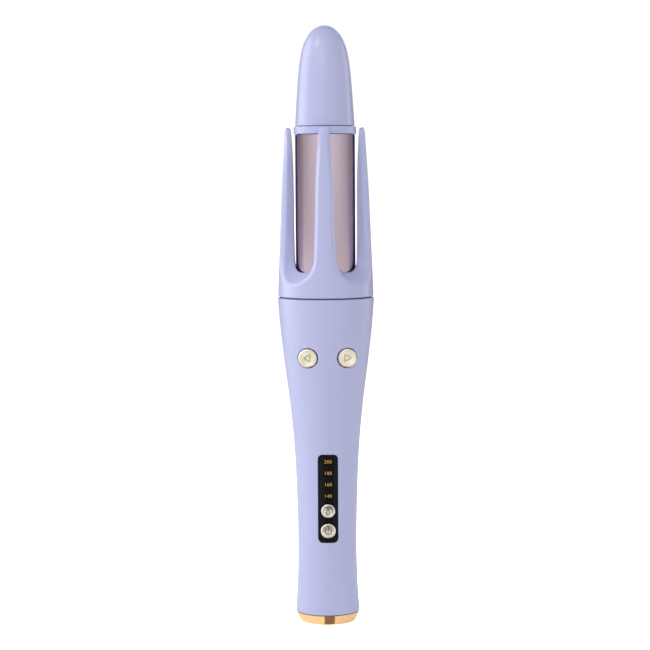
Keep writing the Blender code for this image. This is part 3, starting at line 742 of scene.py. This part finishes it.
def make_crown():
    base_verts, base_faces = half_sector()
    verts, faces = [], []
    for quarter in range(4):
        turn = Matrix.Rotation(CROWN_REST + quarter * PI / 2, 4, "Z")
        for mirror in (1, -1):
            first = len(verts)
            for v in base_verts:
                verts.append(turn @ Vector((v.x * mirror, v.y, v.z)))
            faces.extend([tuple(first + i for i in face) for face in base_faces])
    crown = build("crown_shell", verts, faces, LAVENDER, 50)
    finish_piece(crown, "crown", "lavender_plastic", "crown")


# ---------------------------------------------------------------- barrel, collar, tip, ring
def make_barrel():
    outline = [(BARREL_RADIUS, BARREL_HIGH, 0.2 * MM), (BARREL_RADIUS, BARREL_LOW, 0.2 * MM),
               (BARREL_BORE, BARREL_LOW), (BARREL_BORE, BARREL_HIGH)]
    barrel = lathe("barrel_tube", rounded(outline), ROSE_METAL)
    finish_piece(barrel, "handle", "rose_metal", "barrel")


def make_collar():
    """The ring on top of the barrel, with a plug in its bore and a rim that centres the tip."""
    low, high = (corner.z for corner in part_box("tip_collar"))
    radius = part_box("tip_collar")[1].x
    ring_low, ring_high = BARREL_HIGH + 0.3 * MM, COLLAR_TOP
    plug, rim_inner, rim_outer = BARREL_BORE - 0.3 * MM, 12.0 * MM, 13.4 * MM
    outline = [(0, ring_high), (rim_inner, ring_high), (rim_inner, high), (rim_outer, high, 0.2 * MM),
               (rim_outer, ring_high), (radius, ring_high, 0.45 * MM), (radius, ring_low, 0.35 * MM),
               (plug, ring_low), (plug, low), (0, low)]
    collar = lathe("tip_collar_ring", rounded(outline), LAVENDER)
    finish_piece(collar, "handle", "lavender_plastic", "tip_collar")


def make_tip():
    taper, power, spacing = 3.3 * MM, 6.0, 0.7

    def dome(top, radius, count):
        points = []
        for step in range(count + 1):
            rise = math.cos(PI / 2 * step / count) ** spacing
            swell = math.sqrt(max(0.0, 1 - rise ** power))
            points.append(((radius - taper * rise) * swell, TIP_LOW + (top - TIP_LOW) * rise))
        return points

    outside = dome(TIP_HIGH, TIP_RADIUS, 60)
    foot = outside[-1][0]
    lip = 0.3 * MM
    outside = [point for point in outside if point[1] > TIP_LOW + lip]
    outside += [(foot - lip * (1 - cos_a), TIP_LOW + lip * (1 - sin_a))
                for sin_a, cos_a in quarter_turn(4)]
    inside = dome(TIP_HIGH - 2.4 * MM, TIP_RADIUS - 2.2 * MM, 24)
    tip = lathe("cool_tip", outside + list(reversed(inside)), LAVENDER)
    finish_piece(tip, "handle", "lavender_plastic", "tip_cap")


def make_foot_ring():
    bore, spigot, foot = 14.0 * MM, 14.7 * MM, 14.8 * MM
    lip, foot_edge = 0.25 * MM, 0.12 * MM
    spigot_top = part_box("base_ring")[1].z
    outline = [(spigot, spigot_top), (spigot, RING_TOP), (RING_RADIUS - lip, RING_TOP),
               (RING_RADIUS - 0.3 * lip, RING_TOP - 0.3 * lip)]
    bands = 17
    for share in (1 - k / bands for k in range(1, bands)):
        outline.append((foot + (RING_RADIUS - foot) * share ** 0.85, RING_TOP * share))
    outline += [(foot, foot_edge), (foot - foot_edge, 0.0), (bore, 0.0), (bore, spigot_top)]
    ring = lathe("foot_ring", outline, GOLD)
    finish_piece(ring, "handle", "gold_ring", "base_ring")


# ---------------------------------------------------------------- display window and numerals
def make_window():
    gap, corner, edge = 0.15 * MM, 2.4 * MM, 0.2 * MM
    back_inset = WINDOW_INSET + 1.5 * MM
    core = np.array((WINDOW_WIDTH / 2 - gap, (WINDOW_HIGH - WINDOW_LOW) / 2 - gap)) - corner
    across, along, turn = 10, 44, 6
    grid_x = np.linspace(-core[0], core[0], across + 1)
    grid_z = np.linspace(-core[1], core[1], along + 1)
    around = []                 # (core point, outward direction)
    sides = (([(x, -core[1]) for x in grid_x], -PI / 2), ([(core[0], z) for z in grid_z], 0.0),
             ([(x, core[1]) for x in grid_x[::-1]], PI / 2), ([(-core[0], z) for z in grid_z[::-1]], PI))
    for points, angle in sides:
        around += [(p, angle) for p in points]
        around += [(points[-1], angle + PI / 2 * k / turn) for k in range(1, turn)]
    verts, faces, loops = [], [], []

    def loop(radius, inset):
        loops.append(list(range(len(verts), len(verts) + len(around))))
        for (x, z), angle in around:
            px, pz = x + radius * math.cos(angle), WINDOW_MIDDLE + z + radius * math.sin(angle)
            verts.append((px, handle_surface(px, pz, inset), pz))

    loop(0.0, back_inset)
    loop(corner, back_inset)
    for sin_a, cos_a in quarter_turn(3):
        loop(corner - edge * (1 - cos_a), WINDOW_INSET + edge * (1 - sin_a))
    for k in range(1, 6):
        loop((corner - edge) * (1 - k / 5), WINDOW_INSET)
    bridge(loops, faces)
    for inset in (back_inset, WINDOW_INSET):
        first = len(verts)
        for z in WINDOW_MIDDLE + grid_z:
            for x in grid_x:
                verts.append((x, handle_surface(x, z, inset), z))
        row = across + 1
        for i in range(along):
            for j in range(across):
                a = first + i * row + j
                faces.append((a, a + 1, a + row + 1, a + row))
    window = build("display_lens", verts, faces, BLACK_GLOSS)
    clearance, bore_back, bore_front = 0.3 * MM, 8 * MM, 20 * MM
    for node in ("temp_button", "power_button"):
        low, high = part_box(node)
        radius = (high.x - low.x) / 2 + clearance
        outline = [(0, bore_front), (radius, bore_front), (radius, bore_back), (0, bore_back)]
        cut(window, lathe("bore_" + node, outline, BLACK_GLOSS, 72, (0, 0, middle_of(node).z), True))
    finish_piece(window, "handle", "black_window", "display_window")


def cut(target, cutter):
    """Subtract a closed cutter and remove it."""
    boolean = target.modifiers.new("cut", "BOOLEAN")
    boolean.operation = "DIFFERENCE"
    boolean.solver = "MANIFOLD"
    boolean.object = cutter
    mesh = evaluated_mesh(target)
    target.modifiers.clear()
    target.data = mesh
    bpy.data.objects.remove(cutter, do_unlink=True)
    mesh.shade_smooth()
    mesh.set_sharp_from_angle(angle=math.radians(CREASE))


def evaluated_mesh(obj):
    graph = bpy.context.evaluated_depsgraph_get()
    return bpy.data.meshes.new_from_object(obj.evaluated_get(graph), depsgraph=graph)


def make_numerals():
    """Four generic temperature numerals, lit, that stand proud of the window as a print does."""
    print_height, print_depth = 0.03 * MM, 0.02 * MM
    for index in range(4):
        centre = middle_of(f"indicator_light_{index + 1}").z
        curve = bpy.data.curves.new(f"numeral_{index + 1}", "FONT")
        curve.body = str(200 - 20 * index)
        curve.size = 2.6 * MM
        curve.space_character = 1.08
        curve.offset = -0.035 * MM
        curve.align_x = "CENTER"
        curve.align_y = "CENTER"
        text = new_object(f"numeral_source_{index + 1}", curve)
        bpy.context.view_layer.update()
        bm = bmesh.new()
        bm.from_mesh(evaluated_mesh(text))
        bpy.data.objects.remove(text, do_unlink=True)
        bmesh.ops.remove_doubles(bm, verts=bm.verts, dist=1e-7)
        bm.verts.index_update()
        flat = [(v.co.x, centre + v.co.y) for v in bm.verts]
        fills = [[v.index for v in face.verts] for face in bm.faces]
        rims = [[v.index for v in edge.verts] for edge in bm.edges if edge.is_boundary]
        bm.free()
        # the same fill in front and behind, joined by walls
        count = len(flat)
        verts = [(x, handle_surface(x, z, WINDOW_INSET) - lift, z)
                 for lift in (print_height, -print_depth) for x, z in flat]
        faces = fills + [[count + v for v in reversed(fill)] for fill in fills]
        faces += [(a, b, count + b, count + a) for a, b in rims]
        numeral = build(f"numeral_{index + 1}", verts, faces, LIT_NUMERAL)
        finish_piece(numeral, "handle", "amber_light")


# ---------------------------------------------------------------- buttons
def stroke(name, points, width, closed, centre, low, high, material):
    """A line of constant width in a button's face, as a solid between two distances in front."""
    count = len(points)
    verts, faces = [], []
    for i in range(count):
        before = points[i - 1] if closed or i else points[0]
        after = points[(i + 1) % count] if closed or i < count - 1 else points[-1]
        along = (Vector(after) - Vector(before)).normalized()
        across = Vector((-along.y, along.x)) * width / 2
        for sign in (1, -1):
            x, z = Vector(points[i]) + across * sign
            for front in (low, high):
                verts.append((centre.x + x, -front, centre.z + z))
    for i in range(count if closed else count - 1):
        a, b = 4 * i, 4 * ((i + 1) % count)
        for j, k in ((0, 1), (1, 3), (3, 2), (2, 0)):
            faces.append((a + j, a + k, b + k, b + j))
    if not closed:
        faces.append((0, 1, 3, 2))
        faces.append(tuple(4 * (count - 1) + k for k in (2, 3, 1, 0)))
    return build(name, verts, faces, material)


def ring_points(radius, start, stop, count, centre=(0.0, 0.0)):
    angles = [math.radians(start + (stop - start) * k / (count - 1)) for k in range(count)]
    return [(centre[0] + radius * math.cos(a), centre[1] + radius * math.sin(a)) for a in angles]


def rounded_triangle(reach, direction, corner):
    """A play sign with rounded corners that points along +x or -x."""
    angles = [math.radians(a) for a in (0, 120, 240)]
    return rounded([(reach * math.cos(a) * direction, reach * math.sin(a), corner) for a in angles])


SIGN_WIDTH = 0.42 * MM          # of the engraved lines


def button_cap(node, radius, dish, skirt, lines, metal_look, paint):
    """A turned cap with a shallow dish; its sign is cut in the face and filled with paint."""
    low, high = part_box(node)
    centre = middle_of(node)
    face, back = -low.y, -high.y
    steps = 12
    flat = radius * 0.84
    edge = radius - flat
    outline = [(flat * k / steps, face - dish * (1 - (k / steps) ** 2)) for k in range(steps + 1)]
    outline += [(flat + edge * sin_a, face - edge * (1 - cos_a)) for sin_a, cos_a in quarter_turn(6, 1)]
    outline += skirt(radius, back)
    cap = lathe(node + "_cap", outline, metal_look, 96, (centre.x, 0, centre.z), True)
    floor = face - dish - 0.16 * MM
    for index, (points, closed) in enumerate(lines):
        cut(cap, stroke("cutter", points, SIGN_WIDTH, closed, centre, floor, face + MM, paint))
        sign = stroke(f"{node}_sign_{index + 1}", points, SIGN_WIDTH * 0.94, closed, centre,
                      floor - 0.05 * MM, floor + 0.06 * MM, paint)
        finish_piece(sign, node, "dark_plastic")
    finish_piece(cap, node, "champagne_metal", node)


def make_buttons():
    flange, flange_front = 5.9 * MM, 12.9 * MM      # radius, and distance in front of the axis

    def flanged(radius, back):
        return [(radius, flange_front), (flange, flange_front), (flange, back), (0, back)]

    def plain(radius, back):
        return [(radius, back), (0, back)]

    # phase turns each button's painted sheen so that its bright sectors lie where the highlights fall
    for node, direction, phase in (("left_button", -1, 3.4), ("right_button", 1, 2.9)):
        look = spun_metal_painted_sheen(node + "_metal", (1.0, 0.95, 0.80), (0.86, 0.76, 0.57), 0.27,
                          middle_of(node), phase)
        lines = [(rounded_triangle(2.3 * MM, direction, 0.55 * MM), True)]
        button_cap(node, 5.1 * MM, 0.3 * MM, flanged, lines, look, SIGN_PAINT)

    # each sign is a list of (points, closed)
    power = [(ring_points(1.75 * MM, 125, 415, 40), False),
             ([(0, 0.3 * MM), (0, 2.2 * MM)], False)]
    bulb = ring_points(0.95 * MM, 120, 420, 28, (-0.1 * MM, -1.1 * MM))
    stem = ring_points(0.475 * MM, 0, 180, 9, (-0.1 * MM, 1.6 * MM))
    thermometer = [(bulb + stem, True), (ring_points(2.45 * MM, 75, -40, 20), False)]
    # here too the phase places the painted sheen's bright sectors
    for node, lines, phase in (("power_button", power, 1.2), ("temp_button", thermometer, 2.0)):
        low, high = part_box(node)
        look = spun_metal_painted_sheen(node + "_metal", (1.0, 0.98, 0.90), (0.74, 0.70, 0.60), 0.24,
                          middle_of(node), phase)
        button_cap(node, (high.x - low.x) / 2, 0.22 * MM, plain, lines, look, ENGRAVING)


# ---------------------------------------------------------------- studio
VIEW_TURN = math.radians(-1.8)          # the camera stands this far round to the object's left


def make_camera():
    data = bpy.data.cameras.new("camera")
    data.sensor_width = 36.0
    data.lens = 111.8
    data.clip_start, data.clip_end = 0.01, 50
    camera = new_object("camera", data)
    place = (-0.0006, -1.0865, 0.2445)
    tilt, roll = math.radians(90 - 4.4), math.radians(-0.36)
    camera.matrix_world = (Matrix.Rotation(VIEW_TURN, 4, "Z") @ Matrix.Translation(place)
                           @ Matrix.Rotation(tilt, 4, "X") @ Matrix.Rotation(roll, 4, "Z"))
    bpy.context.scene.camera = camera


def area_light(name, place, target, size, power):
    data = bpy.data.lights.new(name, "AREA")
    data.shape = "RECTANGLE"
    data.size, data.size_y = size
    data.energy = power
    light = new_object(name, data)
    light.location = place
    light.rotation_euler = (Vector(target) - Vector(place)).to_track_quat("-Z", "Y").to_euler()
    light.visible_camera = False
    return light


def make_world():
    """A white sweep as a backdrop; it lights the object more from the front than from behind."""
    world = bpy.data.worlds.new("studio")
    world.use_nodes = True
    tree = world.node_tree
    background = tree.nodes["Background"]
    background.inputs["Color"].default_value = (1.0, 1.0, 1.0, 1)
    coordinates = tree.nodes.new("ShaderNodeTexCoord")
    depth = split_axes(tree, coordinates.outputs["Generated"])["Y"]
    rays = tree.nodes.new("ShaderNodeLightPath")
    mix = tree.nodes.new("ShaderNodeMix")
    mix.inputs[MIX_NUMBER_B].default_value = 1.05
    tree.links.new(rays.outputs["Is Camera Ray"], mix.inputs[MIX_FACTOR])
    tree.links.new(vary(tree, depth, 0.95, 0.06, -1.0, 1.0), mix.inputs[MIX_NUMBER_A])
    tree.links.new(mix.outputs[MIXED_NUMBER], background.inputs["Strength"])
    bpy.context.scene.world = world


def make_floor():
    """A pale floor that fades out behind the object; the camera sees it as one white sweep."""
    material, tree, shader = new_material("pale_floor")
    coordinates = tree.nodes.new("ShaderNodeTexCoord")
    depth = split_axes(tree, coordinates.outputs["Object"])["Y"]
    tint(tree, shader, vary(tree, depth, 0.0, 1.0, 0.1, 1.0), (0.93, 0.93, 0.93), (0.30, 0.30, 0.30))
    shader.inputs["Roughness"].default_value = 0.9
    shader.inputs["Emission Color"].default_value = (1, 1, 1, 1)
    rays = tree.nodes.new("ShaderNodeLightPath")
    glow = vary(tree, rays.outputs["Is Camera Ray"], 0.12, 1.0, 0.0, 1.0)
    tree.links.new(glow, shader.inputs["Emission Strength"])
    bm = bmesh.new()
    bmesh.ops.create_circle(bm, cap_ends=True, segments=96, radius=12.0)
    mesh = bpy.data.meshes.new("floor")
    bm.to_mesh(mesh)
    bm.free()
    mesh.materials.append(material)
    floor = new_object("floor", mesh)
    floor.location = (0, 0, -0.0001)


def make_flag():
    """A narrow dark flag low in front, seen only in polished metal."""
    material, _, shader = new_material("flag")
    shader.inputs["Base Color"].default_value = (0.02, 0.02, 0.02, 1)
    shader.inputs["Emission Color"].default_value = (1.0, 0.80, 0.68, 1)
    shader.inputs["Emission Strength"].default_value = 0.18
    near, reach = -0.0150, 0.35
    left, right = -0.0018, 0.0039
    spread_left, spread_right = 0.208, 0.44         # of each side, for each metre outwards
    verts = [(left, near, 0.0), (right, near, 0.0), (right + spread_right * reach, near - reach, 0.0),
             (left - spread_left * reach, near - reach, 0.0)]
    mesh = bpy.data.meshes.new("flag")
    mesh.from_pydata(verts, [], [(0, 1, 2, 3)])
    mesh.materials.append(material)
    flag = new_object("flag", mesh)
    flag.rotation_euler.z = VIEW_TURN
    flag.visible_camera = False
    flag.visible_diffuse = False
    flag.visible_shadow = False
    flag.visible_transmission = False


def make_studio():
    make_world()
    make_floor()
    make_flag()
    aim = (0, 0, 0.16)
    lights = [area_light("key_left", (-1.15, 0.28, 0.45), aim, (1.0, 1.3), 9.5),
              area_light("front_fill", (-0.5, -1.6, 1.1), aim, (1.2, 0.8), 4.0),
              area_light("top_left", (-0.85, -0.75, 1.35), (0, 0, 0.19), (0.4, 0.4), 4.0),
              area_light("rim_right", (1.2, 0.5, 0.30), aim, (0.35, 1.2), 3.0),
              area_light("rear_fill", (0.3, 1.9, 0.9), aim, (1.6, 1.0), 8.0)]
    # every light but the front fill is kept off the barrel, so that it mirrors mostly the sweep
    flagged = bpy.data.collections.new("flagged_off")
    flagged.objects.link(bpy.data.objects["barrel_tube"])
    flagged.collection_objects[0].light_linking.link_state = "EXCLUDE"
    for light in lights:
        if light.name != "front_fill":
            light.light_linking.receiver_collection = flagged
    bpy.context.scene.view_settings.view_transform = "Standard"


make_camera()
dress_cad_nodes()
make_handle()
make_crown()
make_barrel()
make_collar()
make_tip()
make_foot_ring()
make_window()
make_numerals()
make_buttons()
make_studio()
